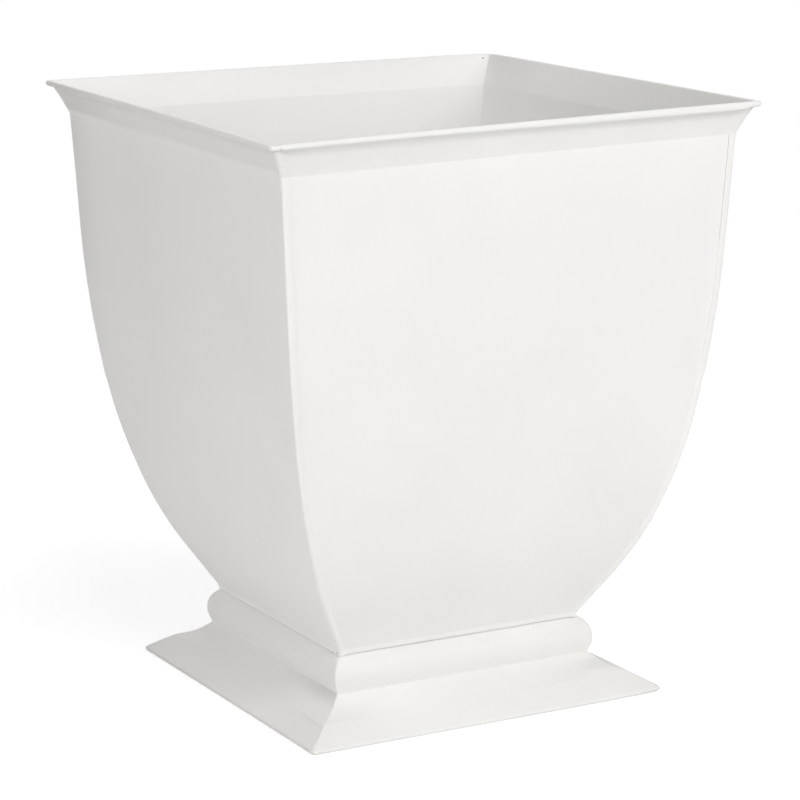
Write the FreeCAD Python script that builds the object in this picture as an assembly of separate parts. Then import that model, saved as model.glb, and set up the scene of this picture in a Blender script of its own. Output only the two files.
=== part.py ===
# Square outdoor planter in powder-coated sheet steel: tapering bowl, flared crown, moulded foot.
# Lengths are in millimetres. Z is up and the origin is the middle of the foot, on the ground.
# The front faces -Y. A half width is measured from the middle of the planter out to a face.

import FreeCAD
import Part
import math
import os

# Whole planter
planter_width = 457.0
planter_height = 523.0
crown_height = 29.5
foot_height = 63.4

# Sheet thicknesses
bowl_sheet = 1.2
crown_sheet = 1.2
foot_sheet = 1.5
plate_sheet = 1.5

# Bowl: the crown stands out past its top, and a lip leans in at its foot. The lip's width is over
# its outer edges
crown_overhang = 16.2
bowl_lip_width = 236.2
lip_lean_in = 1.6
lip_height = 4.6
lip_bend_radius = 3.6
joint_gap = 0.8
corner_flange_width = 6.6

# Corners of the bowl's curve, between its top and its lip: each is a share of the top half width
# and a share of the bowl's height, and the curve there uses a share of the shorter stretch beside it
bowl_corner_shares = [(0.9586, 0.6294), (0.8804, 0.3654), (0.7477, 0.1626)]
bowl_curve_share = 0.495

# Crown: rolled bead round a wire, and how far the flare turns outward on its way up, in degrees
bead_diameter = 5.0
bead_turn = 280.0
flare_turn = 8.0
wire_clearance = 0.1

# Foot moulding, from the top down: its top is set in from the bowl's lip, the torus stands out past
# the top, the notch is cut back under the torus, and the cove and the skirt run out to the foot's edge
foot_width = 343.0
foot_top_inset = 0.6
torus_projection = 10.2
torus_lead = 32.0
notch_depth = 3.5
foot_bend_radius = 2.2
notch_radius = 0.6
arris_radius = 3.0
top_flange_width = 17.0
rest_flange_width = 15.0

# Heights are shares of the foot's height, and runs are shares of the way from notch to foot's edge
torus_foot_share = 0.639
notch_height_share = 0.5016
cove_height_share = 0.345
arris_height_share = 0.2665
cove_run_share = 0.247
arris_run_share = 0.548

# Curves of the torus, of its under side and of the cove: each uses a share of the shorter stretch
torus_curve_share = 0.9
torus_under_share = 0.476
cove_curve_share = 0.42

# Plates: the deck on the foot, the floor in the bowl
deck_margin = 4.5
floor_clearance = 0.1
drain_diameter = 25.0

# Fasteners between floor and deck
bolt_diameter = 6.0
bolt_inset = 20.5
bolt_head_width = 10.0
bolt_head_height = 4.0
bolt_end = 2.0
nut_height = 5.0
washer_diameter = 12.0
washer_thickness = 1.2
bolt_hole_clearance = 0.3
thread_clearance = 0.05

# Welds
corner_weld_size = 2.0
floor_weld_size = 2.5
seam_weld_height = 2.2
seam_weld_bulge = 1.2
ridge_share = 0.9
ridge_top_share = 0.86
skirt_weld_start_share = 0.19
skirt_weld_end_share = 0.5

# Cuts run past what they cut by this much
overrun = 6.0
smallest_edge = 0.0001

# Derived levels and half widths
bowl_top_z = planter_height - crown_height
lip_edge_z = foot_height + joint_gap
lip_bend_z = lip_edge_z + lip_height
bowl_height = bowl_top_z - lip_edge_z
bowl_top_half = planter_width / 2 - crown_overhang
lip_half = bowl_lip_width / 2
foot_top_half = lip_half - foot_top_inset
foot_flange_half = foot_top_half - top_flange_width
deck_top_z = foot_height + plate_sheet
floor_top_z = deck_top_z + plate_sheet
bead_radius = bead_diameter / 2
reach_out = planter_width + overrun


def point(half_width, height):
    return FreeCAD.Vector(half_width, 0, height)


def direction(start, end):
    return (end - start).normalize()


def left_of(travel):
    return FreeCAD.Vector(-travel.z, 0, travel.x)


def lean_to(angle):
    # Unit direction in the section, leaning outward from upright
    return FreeCAD.Vector(math.sin(math.radians(angle)), 0, math.cos(math.radians(angle)))


def half_turn_tangent(before, corner, after):
    # How far an arc at the corner reaches along its stretches, for each unit of its radius
    return math.tan(direction(before, corner).getAngle(direction(corner, after)) / 2)


def curve_radius(before, corner, after, share):
    # Radius of the arc that uses this share of the shorter stretch beside the corner
    reach = share * min(before.distanceToPoint(corner), corner.distanceToPoint(after))
    return reach / half_turn_tangent(before, corner, after)


def add_line(edges, start, end):
    if start.distanceToPoint(end) > smallest_edge:
        edges.append(Part.LineSegment(start, end).toShape())


def bent_edges(corners, radii, offset):
    # Edges along the corners, rounded by the radii and moved to the left of travel by the offset
    edges = []
    last = corners[0] + left_of(direction(corners[0], corners[1])) * offset
    for before, corner, after, radius in zip(corners, corners[1:], corners[2:], radii):
        inward = direction(before, corner)
        onward = direction(corner, after)
        side = 1 if left_of(inward).dot(onward) > 0 else -1
        reach = radius * math.tan(inward.getAngle(onward) / 2)
        bend_start = corner - inward * reach
        centre = bend_start + left_of(inward) * (side * radius)
        first = bend_start + left_of(inward) * offset
        middle = centre + direction(centre, corner) * (radius - side * offset)
        end = corner + onward * reach + left_of(onward) * offset
        add_line(edges, last, first)
        edges.append(Part.Arc(first, middle, end).toShape())
        last = end
    final = corners[-1] + left_of(direction(corners[-2], corners[-1])) * offset
    add_line(edges, last, final)
    return edges, corners[0] + left_of(direction(corners[0], corners[1])) * offset, final


def section_face(edges):
    return Part.Face(Part.Wire(Part.__sortEdges__(edges)))


def strip_face(corners, radii, offset_a, offset_b):
    # Section of a sheet between two offsets of the same path
    edges_a, start_a, end_a = bent_edges(corners, radii, offset_a)
    edges_b, start_b, end_b = bent_edges(corners, radii, offset_b)
    edges = edges_a + edges_b
    add_line(edges, start_a, start_b)
    add_line(edges, end_a, end_b)
    return section_face(edges)


def core_face(corners, radii, offset):
    # Everything between the planter's middle and the path
    edges, start, end = bent_edges(corners, radii, offset)
    add_line(edges, start, point(0, start.z))
    add_line(edges, point(0, start.z), point(0, end.z))
    add_line(edges, point(0, end.z), end)
    return section_face(edges)


def pull(face):
    # Extrude a section both ways along the side that it belongs to
    solid = face.extrude(FreeCAD.Vector(0, 2 * reach_out, 0))
    solid.translate(FreeCAD.Vector(0, -reach_out, 0))
    return solid


def slab(low, high):
    box = Part.makeBox(2 * reach_out, 2 * reach_out, high - low)
    box.translate(FreeCAD.Vector(-reach_out, -reach_out, low))
    return box


def mitre(solid):
    # Keep what lies in the quarter of the plan that faces +X
    corners = [(0, 0), (reach_out, -reach_out), (reach_out, reach_out), (0, 0)]
    outline = Part.makePolygon([FreeCAD.Vector(x, y, -overrun) for x, y in corners])
    wedge = Part.Face(outline).extrude(FreeCAD.Vector(0, 0, planter_height + 2 * overrun))
    return solid.common(wedge)


def turned(shape, angle):
    copy = shape.copy()
    copy.rotate(FreeCAD.Vector(0, 0, 0), FreeCAD.Vector(0, 0, 1), angle)
    return copy


def four_times(shape):
    return [turned(shape, angle) for angle in (0, 90, 180, 270)]


def group(solids):
    return Part.makeCompound([single for solid in solids for single in solid.Solids])


side_angles = {"right": 0, "back": 90, "left": 180, "front": 270}


# Bowl

def bowl_path():
    top = point(bowl_top_half, bowl_top_z)
    bend = point(lip_half + lip_lean_in, lip_bend_z)
    lip = point(lip_half, lip_edge_z)
    corners = [top]
    for width_share, height_share in bowl_corner_shares:
        corners.append(point(width_share * bowl_top_half, lip_edge_z + height_share * bowl_height))
    corners += [bend, lip]
    radii = [curve_radius(*three, bowl_curve_share) for three in zip(corners, corners[1:], corners[2:-1])]
    radii.append(lip_bend_radius)
    corners[0] = top + direction(corners[1], top) * overrun
    corners[-1] = lip + direction(bend, lip) * overrun
    return corners, radii


bowl_corners, bowl_radii = bowl_path()
bowl_span = slab(lip_edge_z, bowl_top_z)


def lip_inner_half_width(height):
    # From the planter's middle to the inside of the lip at a height
    outer = lip_half + lip_lean_in * (height - lip_edge_z) / lip_height
    return outer - bowl_sheet / direction(bowl_corners[-1], bowl_corners[-2]).z


def bowl_band(offset_in, offset_out):
    return pull(strip_face(bowl_corners, bowl_radii, offset_in, offset_out)).common(bowl_span)


def bowl_core(offset):
    # The bowl's shape seen from the side, pulled right through, kept between the other two walls
    half = turned(pull(core_face(bowl_corners, bowl_radii, offset)), 90)
    return half.fuse(turned(half, 180))


def plain_panel():
    # Front and back panels end at the inner faces of the side panels
    return bowl_band(-bowl_sheet, 0).common(bowl_core(-bowl_sheet))


def lapped_panel():
    # Side panels turn round each corner and lap over the front and back panels
    wall = bowl_band(-bowl_sheet, 0).common(bowl_core(0))
    lap = bowl_band(-corner_flange_width, 0).common(bowl_core(bowl_sheet)).cut(bowl_core(0))
    return wall.fuse(lap).removeSplitter()


bowl_panels = {
    "right": lapped_panel(),
    "left": turned(lapped_panel(), side_angles["left"]),
    "back": turned(plain_panel(), side_angles["back"]),
    "front": turned(plain_panel(), side_angles["front"]),
}


# Crown

flare_foot = point(bowl_top_half, bowl_top_z)
bead_centre = point(planter_width / 2 - bead_radius, planter_height - bead_radius)


def flare_top_lean():
    # The flare's lean from upright where it runs into the bead
    centre_run = bead_centre - flare_foot
    centre_lean = math.degrees(math.atan2(centre_run.x, centre_run.z))
    half_turn = math.radians(flare_turn / 2)
    offset = (bead_radius - crown_sheet) * math.cos(half_turn)
    return centre_lean + flare_turn / 2 - math.degrees(math.asin(offset / centre_run.Length))


flare_lean = flare_top_lean()


def flare_path():
    # The flare's outer face, one arc from the top of the bowl to the inside of the bead
    end = bead_centre + left_of(lean_to(flare_lean)) * (bead_radius - crown_sheet)
    foot_direction = lean_to(flare_lean - flare_turn)
    half_turn = math.radians(flare_turn / 2)
    reach = flare_foot.distanceToPoint(end) / 2 / math.cos(half_turn)
    corners = [flare_foot - foot_direction * overrun, flare_foot + foot_direction * reach, end]
    return corners, [reach / math.tan(half_turn)]


flare_corners, flare_radii = flare_path()


def around_bead(radius, angle):
    # Point on a circle round the bead's centre, the angle taken from where the flare meets it
    return bead_centre + left_of(lean_to(flare_lean + angle)) * radius


def bead_face():
    outer = bead_radius
    inner = bead_radius - crown_sheet
    outer_arc = Part.Arc(*[around_bead(outer, share * bead_turn) for share in (0, 0.5, 1)])
    inner_arc = Part.Arc(*[around_bead(inner, share * bead_turn) for share in (0, 0.5, 1)])
    edges = [outer_arc.toShape(), inner_arc.toShape()]
    add_line(edges, around_bead(outer, 0), around_bead(inner, 0))
    add_line(edges, around_bead(outer, bead_turn), around_bead(inner, bead_turn))
    return section_face(edges)


def crown_strip():
    flare = pull(strip_face(flare_corners, flare_radii, 0, crown_sheet))
    rolled = flare.fuse(pull(bead_face())).removeSplitter()
    return mitre(rolled.common(slab(bowl_top_z, planter_height + overrun)))


def rim_wire():
    radius = bead_radius - crown_sheet - wire_clearance
    circle = Part.Circle(bead_centre, FreeCAD.Vector(0, 1, 0), radius).toShape()
    return mitre(pull(section_face([circle])))


crown_strips = four_times(crown_strip())
rim_wires = four_times(rim_wire())


# Foot moulding

def skirt_base(arris):
    # Where the skirt's slope would reach the ground, if the foot's edge weren't rounded
    edge_centre = point(foot_width / 2 - foot_bend_radius, foot_bend_radius)
    run = edge_centre - arris
    slope = math.atan2(-run.z, run.x) - math.asin(foot_bend_radius / run.Length)
    return point(arris.x + arris.z / math.tan(slope), 0)


def foot_path():
    # Outer face from the top flange, over the torus and the skirt, to the flange that it rests on
    crest = foot_top_half + torus_projection
    shoulder_drop = torus_projection * math.tan(math.radians(torus_lead))
    notch = crest - notch_depth
    run_out = foot_width / 2 - notch
    arris = point(notch + arris_run_share * run_out, arris_height_share * foot_height)
    corners = [
        point(foot_flange_half, foot_height),
        point(foot_top_half, foot_height),
        point(crest, foot_height - shoulder_drop),
        point(crest, torus_foot_share * foot_height),
        point(notch, notch_height_share * foot_height),
        point(notch + cove_run_share * run_out, cove_height_share * foot_height),
        arris,
        skirt_base(arris),
        point(foot_width / 2 - rest_flange_width, 0),
    ]
    # The torus's large arc takes its share of what the arc under it leaves of the crest
    under_radius = curve_radius(*corners[2:5], torus_under_share)
    crest_run = corners[2].distanceToPoint(corners[3]) - under_radius * half_turn_tangent(*corners[2:5])
    torus_reach = torus_curve_share * min(corners[1].distanceToPoint(corners[2]), crest_run)
    radii = [
        foot_bend_radius,
        torus_reach / half_turn_tangent(*corners[1:4]),
        under_radius,
        notch_radius,
        curve_radius(*corners[4:7], cove_curve_share),
        arris_radius,
        foot_bend_radius,
    ]
    return corners, radii


foot_corners, foot_radii = foot_path()
foot_strip = mitre(pull(strip_face(foot_corners, foot_radii, -foot_sheet, 0)))
foot_strips = four_times(foot_strip)


# Plates and fasteners

bolt_half = foot_flange_half - bolt_inset
bolt_places = [FreeCAD.Vector(x * bolt_half, y * bolt_half, 0) for x in (-1, 1) for y in (-1, 1)]


def upright(radius, low, high, place):
    return Part.makeCylinder(radius, high - low, FreeCAD.Vector(place.x, place.y, low))


def hexagon(width, low, high, place):
    radius = width / 2 / math.cos(math.pi / 6)
    ring = [
        FreeCAD.Vector(
            place.x + radius * math.cos(math.radians(60 * side)),
            place.y + radius * math.sin(math.radians(60 * side)),
            low,
        )
        for side in range(7)
    ]
    return Part.Face(Part.makePolygon(ring)).extrude(FreeCAD.Vector(0, 0, high - low))


def square_plate(half_width, low, high):
    # Plate with the drain hole and the four bolt holes
    plate = Part.makeBox(2 * half_width, 2 * half_width, high - low)
    plate.translate(FreeCAD.Vector(-half_width, -half_width, low))
    holes = [upright(drain_diameter / 2, low - overrun, high + overrun, FreeCAD.Vector(0, 0, 0))]
    for place in bolt_places:
        hole_radius = bolt_diameter / 2 + bolt_hole_clearance
        holes.append(upright(hole_radius, low - overrun, high + overrun, place))
    return plate.cut(Part.makeCompound(holes))


foot_deck = square_plate(foot_top_half - deck_margin, foot_height, deck_top_z)
floor_half_width = lip_inner_half_width(deck_top_z) - floor_clearance
bowl_floor = square_plate(floor_half_width, deck_top_z, floor_top_z)

upper_washer_z = floor_top_z + washer_thickness
lower_washer_z = foot_height - washer_thickness
nut_low_z = lower_washer_z - nut_height
bolt_low_z = nut_low_z - bolt_end


def joint_bolt(place):
    head = hexagon(bolt_head_width, upper_washer_z, upper_washer_z + bolt_head_height, place)
    return head.fuse(upright(bolt_diameter / 2, bolt_low_z, upper_washer_z, place)).removeSplitter()


def washer_pair(place):
    hole_radius = bolt_diameter / 2 + bolt_hole_clearance
    hole = upright(hole_radius, lower_washer_z - overrun, upper_washer_z + overrun, place)
    upper = upright(washer_diameter / 2, floor_top_z, upper_washer_z, place).cut(hole)
    lower = upright(washer_diameter / 2, lower_washer_z, foot_height, place).cut(hole)
    return [upper, lower]


def joint_nut(place):
    hole = upright(bolt_diameter / 2 + thread_clearance, bolt_low_z, foot_height, place)
    return hexagon(bolt_head_width, nut_low_z, lower_washer_z, place).cut(hole)


# Welds

def bowl_corner_weld():
    # Bead down the inside of one corner of the bowl
    size = corner_weld_size
    along_x = bowl_band(-bowl_sheet - size, -bowl_sheet)
    bead = along_x.common(turned(along_x, 90))
    return bead.common(slab(floor_top_z + floor_weld_size, bowl_top_z - seam_weld_height))


def crown_seam_weld():
    # Bead round the inside of the joint between the crown and the bowl
    half_sheet = crown_sheet / 2
    inner = bowl_top_half - crown_sheet
    flare_start = direction(flare_corners[0], flare_corners[1])
    flare_run = seam_weld_height * flare_start.x / flare_start.z
    low = point(inner + half_sheet, bowl_top_z - seam_weld_height)
    high = point(inner + half_sheet + flare_run, bowl_top_z + seam_weld_height)
    bulge = Part.Arc(low, point(inner - seam_weld_bulge, bowl_top_z), high)
    edges = [bulge.toShape()]
    add_line(edges, high, low)
    return mitre(pull(section_face(edges)))


def floor_seam_weld():
    # Bead between the bowl's floor and one wall
    inner = lip_inner_half_width(floor_top_z)
    ring = [
        point(inner - floor_weld_size, floor_top_z),
        point(inner + bowl_sheet / 2, floor_top_z),
        point(inner + bowl_sheet / 2, floor_top_z + floor_weld_size),
    ]
    return mitre(pull(Part.Face(Part.makePolygon(ring + ring[:1]))))


def ridge(section_start, section_end, radius):
    # Round bead along a mitre, from one point of the section to another
    start = FreeCAD.Vector(section_start.x, section_start.x, section_start.z)
    end = FreeCAD.Vector(section_end.x, section_end.x, section_end.z)
    return Part.makeCylinder(radius, start.distanceToPoint(end), start, end - start)


def crown_corner_weld():
    end = flare_foot + (flare_corners[-1] - flare_foot) * ridge_top_share
    bead = ridge(flare_foot, end, ridge_share * crown_sheet)
    return bead.common(slab(bowl_top_z, planter_height))


def foot_corner_weld():
    # Bead under the skirt's mitre, over a share of the skirt
    arris = foot_corners[-3]
    skirt = foot_corners[-2] - arris
    inner = left_of(direction(arris, foot_corners[-2])) * -foot_sheet
    start = arris + skirt * skirt_weld_start_share + inner
    end = arris + skirt * skirt_weld_end_share + inner
    return ridge(start, end, ridge_share * foot_sheet)


all_panels = Part.makeCompound(list(bowl_panels.values()))
all_crowns = Part.makeCompound(crown_strips)
all_feet = Part.makeCompound(foot_strips)

crown_seam_welds = four_times(crown_seam_weld().cut(all_panels).cut(all_crowns))
floor_seam_welds = four_times(floor_seam_weld().cut(all_panels))
bowl_corner_welds = four_times(bowl_corner_weld())
crown_corner_welds = four_times(crown_corner_weld().cut(all_crowns))
foot_corner_welds = four_times(foot_corner_weld().cut(all_feet))


# Nodes

nodes = {
    "bowl_floor": bowl_floor,
    "foot_deck": foot_deck,
    "bowl_corner_welds": group(bowl_corner_welds),
    "crown_seam_welds": group(crown_seam_welds),
    "crown_corner_welds": group(crown_corner_welds),
    "floor_seam_welds": group(floor_seam_welds),
    "foot_corner_welds": group(foot_corner_welds),
    "joint_bolts": group([joint_bolt(place) for place in bolt_places]),
    "joint_washers": group([washer for place in bolt_places for washer in washer_pair(place)]),
    "joint_nuts": group([joint_nut(place) for place in bolt_places]),
}
for index, side_name in enumerate(side_angles):
    nodes["bowl_panel_" + side_name] = bowl_panels[side_name]
    nodes["crown_" + side_name] = crown_strips[index]
    nodes["rim_wire_" + side_name] = rim_wires[index]
    nodes["foot_moulding_" + side_name] = foot_strips[index]

os.makedirs("parts", exist_ok=True)
for name, shape in nodes.items():
    shape.exportStep("parts/" + name + ".step")
    print(name, len(shape.Solids), shape.isValid(), round(shape.Volume, 1))
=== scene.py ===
"""Square outdoor planter in white powder-coated sheet steel: the looks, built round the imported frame.

Lengths are in metres. Z is up, the front faces -Y, and each side is drawn facing +X and then turned.
"""

import bisect
import math

import bmesh
import bpy
from mathutils import Matrix, Vector, noise
from mathutils.geometry import tessellate_polygon


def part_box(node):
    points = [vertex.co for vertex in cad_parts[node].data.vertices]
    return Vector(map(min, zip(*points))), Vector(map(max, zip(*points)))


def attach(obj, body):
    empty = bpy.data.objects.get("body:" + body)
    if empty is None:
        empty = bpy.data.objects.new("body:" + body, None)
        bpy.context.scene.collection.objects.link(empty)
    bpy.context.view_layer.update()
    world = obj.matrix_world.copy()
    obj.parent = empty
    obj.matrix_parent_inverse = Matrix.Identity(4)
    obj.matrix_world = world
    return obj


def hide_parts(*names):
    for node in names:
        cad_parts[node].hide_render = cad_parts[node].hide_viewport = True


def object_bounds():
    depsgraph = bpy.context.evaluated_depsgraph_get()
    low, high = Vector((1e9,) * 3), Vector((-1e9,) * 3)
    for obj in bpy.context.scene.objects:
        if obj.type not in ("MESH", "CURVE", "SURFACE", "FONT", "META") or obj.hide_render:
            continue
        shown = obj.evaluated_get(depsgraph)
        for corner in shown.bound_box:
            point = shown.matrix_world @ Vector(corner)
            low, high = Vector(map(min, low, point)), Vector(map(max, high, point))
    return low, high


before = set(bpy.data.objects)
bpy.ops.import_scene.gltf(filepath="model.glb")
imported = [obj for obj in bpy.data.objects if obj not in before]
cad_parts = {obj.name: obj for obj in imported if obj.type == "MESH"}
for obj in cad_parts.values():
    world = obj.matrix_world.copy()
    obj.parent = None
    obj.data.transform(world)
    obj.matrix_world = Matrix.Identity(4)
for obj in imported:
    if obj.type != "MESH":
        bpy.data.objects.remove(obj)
cad_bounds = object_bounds()
MM = 0.001

# Places read from the frame
panel_low, panel_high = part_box("bowl_panel_right")
BOWL_TOP_HALF = panel_high.x
BOWL_TOP_Z = panel_high.z
LIP_EDGE_Z = panel_low.z
RIM_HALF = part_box("crown_right")[1].x
RIM_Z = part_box("crown_right")[1].z
FOOT_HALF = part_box("foot_moulding_right")[1].x
FOOT_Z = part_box("foot_moulding_right")[1].z
FLOOR_TOP_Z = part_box("bowl_floor")[1].z

# Sheets and the bowl's curve
SHEET = 1.2 * MM
FOOT_SHEET = 1.5 * MM
LIP_HALF = 118.1 * MM
LIP_LEAN_IN = 1.6 * MM
LIP_HEIGHT = 4.6 * MM
LIP_BEND_RADIUS = 2.4 * MM
OVERRUN = 6.0 * MM
BOWL_CORNER_SHARES = [(0.9586, 0.6294), (0.8804, 0.3654), (0.7477, 0.1626)]
BOWL_CURVE_SHARE = 0.495

# Corner flanges of the side panels
FLANGE_WIDTH = 6.9 * MM
CORNER_RADIUS = 1.9 * MM
FLANGE_EDGE_RUNS = {"left": 0.5 * MM, "right": 0.3 * MM}
FLANGE_FADED_RUN = 3.6 * MM

# Crown
BEAD_RADIUS = 2.5 * MM
BEAD_FILLET = 3.4 * MM
SLOPE_RUN = 7.5 * MM
SLOPE_ROUNDING = 5.0 * MM
BEAD_DROOP = 2.0 * MM
WIRE_CLEARANCE = 0.1 * MM
FLARE_TURN = math.radians(8)

# Where the long slope under the bead takes over from the tight fillet beside a corner
SLOPE_START = 7 * MM
SLOPE_FADE = 14 * MM

# Where the front bead begins to hang, and over what length
DROOP_START = -0.14
DROOP_FADE = 0.3

# Foot moulding, as in the construction, and its corner radii in plan
FOOT_TOP_HALF = LIP_HALF - 0.6 * MM
TORUS_PROJECTION = 10.2 * MM
TORUS_LEAD = math.radians(32)
NOTCH_DEPTH = 3.5 * MM
FOOT_BEND_RADIUS = 2.2 * MM
NOTCH_RADIUS = 0.6 * MM
ARRIS_RADIUS = 3.0 * MM
SOFT_ARRIS_RADIUS = 14.0 * MM
TOP_FLANGE_WIDTH = 17.0 * MM
REST_FLANGE_WIDTH = 15.0 * MM
TORUS_FOOT_SHARE = 0.639
NOTCH_HEIGHT_SHARE = 0.5016
COVE_HEIGHT_SHARE = 0.345
ARRIS_HEIGHT_SHARE = 0.2665
COVE_RUN_SHARE = 0.247
ARRIS_RUN_SHARE = 0.548
TORUS_CURVE_SHARE = 0.9
TORUS_UNDER_SHARE = 0.476
COVE_CURVE_SHARE = 0.42
FOOT_CORNER_RADIUS = 4.0 * MM
SKIRT_CORNER_RADIUS = 0.8 * MM
TORUS_CORNER_RADIUS = 1.4 * MM
FOOT_SOFTNESS = 0.62
FOOT_CRISP_REACH = 34 * MM
FOOT_FADE_REACH = 46 * MM

SIDE_TURNS = {"right": 0, "back": 90, "left": 180, "front": 270}
SIDE_CORNERS = {
    0: ("front_right", "back_right"), 90: ("back_right", "back_left"),
    180: ("back_left", "front_left"), 270: ("front_left", "front_right"),
}

# Plan radius of the crown's corners: at the flare's foot, its top, and the bead's middle
CROWN_CORNERS = {
    "front_left": (1.5 * MM, 2.4 * MM, 2.2 * MM), "front_right": (1.2 * MM, 1.4 * MM, 0.8 * MM),
    "back_right": (1.5 * MM, 2.4 * MM, 3.5 * MM), "back_left": (1.2 * MM, 1.4 * MM, 0.8 * MM),
}

# Welds: half width and thickness of the flare's ridges, their tails on the bowl, and the fillets inside
CORNER_RIDGES = {
    "front_left": (4.2 * MM, 1.6 * MM), "front_right": (1.6 * MM, 0.45 * MM),
    "back_right": (2.4 * MM, 0.7 * MM), "back_left": (1.6 * MM, 0.45 * MM),
}
RIDGE_TAIL = 12 * MM
TAIL_RADIUS = 1.9 * MM
TAIL_REACH = 2.0 * MM
TAIL_HEIGHT = 0.35 * MM
LAPPED_STEP = 0.6 * MM
WELD_END = 9.6 * MM
WELD_PINCH = 0.9 * MM
WELD_PINCH_REACH = 0.9 * MM
WELD_THINNING = 0.25 * MM
WELD_THINNING_RUN = 1.5 * MM
SEAM_REACH = 3.2 * MM
CORNER_FILLET = 1.2 * MM
FLOOR_FILLET = 2.5 * MM
FOOT_WELD_RADIUS = 1.5 * MM

# Unevenness: waves, the rim's twist and sag, and its far corner, which is drawn in
WAVE_LENGTH = 0.17
WAVE_HEIGHT = 0.28 * MM
WAVE_START = Vector((3.1, 7.7, 1.9))
WAVE_SEED = 7
noise.seed_set(WAVE_SEED)
RIM_DROPS = {"front": 4.2 * MM, "back": 2.6 * MM}
RIM_SAG = 1.3 * MM
FOOT_CORNER_LIFT = 1.6 * MM
LIP_DROPS = {"front": 0.35 * MM, "left": 0.6 * MM}
LIP_WAVE_LENGTH = 30 * MM
LIP_WAVE_HEIGHT = 0.15 * MM
LIP_CORNER_DROP = 0.4 * MM
LIP_CORNER_REACH = 9.0 * MM
LIP_DROP_LIMIT = 0.76 * MM
BACK_CORNER_PULL = 5.0 * MM
BACK_PULL_REACH = 32 * MM
BACK_CORNER_DIP = 0.8 * MM
BACK_DIP_REACH = 9 * MM

# Heights, in order, and how much higher than drawn the pieces lie there
LIFTS = [(0, 0), (FOOT_Z, 0.8 * MM), (BOWL_TOP_Z, 1.2 * MM), (RIM_Z, 0)]

# How far each bowl panel is pressed in, in mm, at even steps from lip to top
PRESSED_IN = {
    "front": [-1.2, -2.2, -2.4, -1.7, -1.1, -1.0, -1.2, -0.2, 0.0],
    "right": [3.9, 4.9, 4.1, 3.1, 2.6, 2.3, 1.7, 0.4, 0.0],
    "left": [-1.4, -1.5, -1.0, -0.8, -0.8, -0.6, -0.4, -0.2, 0.0],
    "back": [2.0, -1.5, -2.8, -2.8, -2.4, -2.2, -1.7, -0.3, 0.0],
}

# Plates and fasteners
BOLT_HALF = FOOT_TOP_HALF - TOP_FLANGE_WIDTH - 20.5 * MM
BOLT_PLACES = [Vector((x * BOLT_HALF, y * BOLT_HALF)) for x in (-1, 1) for y in (-1, 1)]
BOLT_RADIUS = 3.0 * MM
BOLT_HOLE_RADIUS = 3.3 * MM
DRAIN_RADIUS = 12.5 * MM
NUT_WIDTH = 10.0 * MM
CHAMFER_SHARE = 0.96
CHAMFER_LEAN = math.radians(28)
WASHER_RADIUS = 6.0 * MM
WASHER_SHEET = 1.2 * MM
THREAD_PITCH = 1.0 * MM
THREAD_DEPTH = 0.5 * MM

# Names of the material slots
COAT = "white_powder_coat"
ZINC = "zinc_steel"
WIRE = "wire_steel"

# Small open pores at the ends of welds; the shade inside them is painted as dark spots
WELD_PITS = [(0.2165, 0.2183, 0.5165), (-0.1196, -0.1076, 0.0644), (-0.1202, -0.1170, 0.0666)]
PIT_REACH = 1.15 * MM

# Painted shade lies where all fades of a row overlap and darkens the coat: what is measured, from where to
# where, and the values there.
# Across, along and upward are the face's direction; slanted rises a little towards the near left corner.
FAR_LEFT_CORNER = (-0.225, 0.225, 0.51)
ON_LEFT = ("across", -0.3, -0.7)
INSIDE_RIGHT = [("across", -0.5, -0.8), ("x", 0.05, 0.1), ("height", 0.4, 0.41)]
# Painted shade, row by row: foot dims the lit upper faces of the foot, most on the torus; notch is the shade
# under the torus on the left face near the near left corner; arris is the shadow of the arris step there;
# base_edge is the shade along the left base edge; cove is the shade in the cove by the near right corner;
# inside_near and inside_far are the shade on the inside of the right wall; flare is the shade on the left
# flare towards the far left corner; left_wall is the shade on the left wall near the back.
PAINTED_SHADE = {
    "foot": [
        ("height", 0.067, 0.061, 0.0, 0.9), ("height", 0.036, 0.046, 0.6, 1.0),
        ("upward", 0.1, 0.6, 0.45, 0.8), ("along", -0.2, -0.5, 0.6, 1.0), ("clouds", 0.3, 0.7, 0.7, 1.0),
    ],
    "notch": [
        ON_LEFT, ("height", 0.0235, 0.0295), ("height", 0.0345, 0.0325), ("y", -0.02, -0.11, 0.0, 0.95),
    ],
    "arris": [
        ON_LEFT, ("slanted", 0.0176, 0.0182), ("slanted", 0.0193, 0.0187), ("y", -0.098, -0.12, 0.0, 0.6),
    ],
    "base_edge": [("x", -0.1698, -0.1708), ("height", 0.004, 0.002)],
    "cove": [
        ("height", 0.0195, 0.021), ("height", 0.028, 0.0265), ("along", -0.1, -0.25),
        ("x", 0.105, 0.125, 0.0, 0.4),
    ],
    "inside_near": INSIDE_RIGHT + [("y", 0.08, -0.17, 0.0, 0.95)],
    "inside_far": INSIDE_RIGHT + [("y", 0.13, 0.212, 0.0, 0.55)],
    "flare": [
        ON_LEFT, ("x", -0.2123, -0.2145), ("height", 0.4935, 0.496), ("to_far_left", 0.13, 0.052, 0.4, 1.0),
    ],
    "left_wall": [
        ("across", -0.6, -0.8), ("x", 0.0, -0.01), ("y", 0.165, 0.21, 0.0, 0.5),
        ("height", 0.25, 0.4), ("height", 0.496, 0.4935),
    ],
}

# Studio: azimuth and elevation of each lamp in degrees, and its power in watts
LAMPS = {
    "front_softbox": (0, 28, 16.7),
    "front_right_softbox": (25, 26, 20.6),
    "left_front_softbox": (-55, 16, 11.9),
    "left_softbox": (-80, 27, 16.6),
    "right_rear_softbox": (135, 42, 12.4),
    "rear_softbox": (175, 20, 5.5),
    "overhead_softbox": (0, 89, 7.0),
}
LAMP_TARGET = Vector((0, 0, 0.3))
LAMP_DISTANCE = 2.4
LAMP_SIZE = 1.2
FLOOR_GLOW = 0.45
GLOW_START = 0.35
FLOOR_RADIUS = 1.3
WORLD_LEVEL = 0.0

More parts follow.
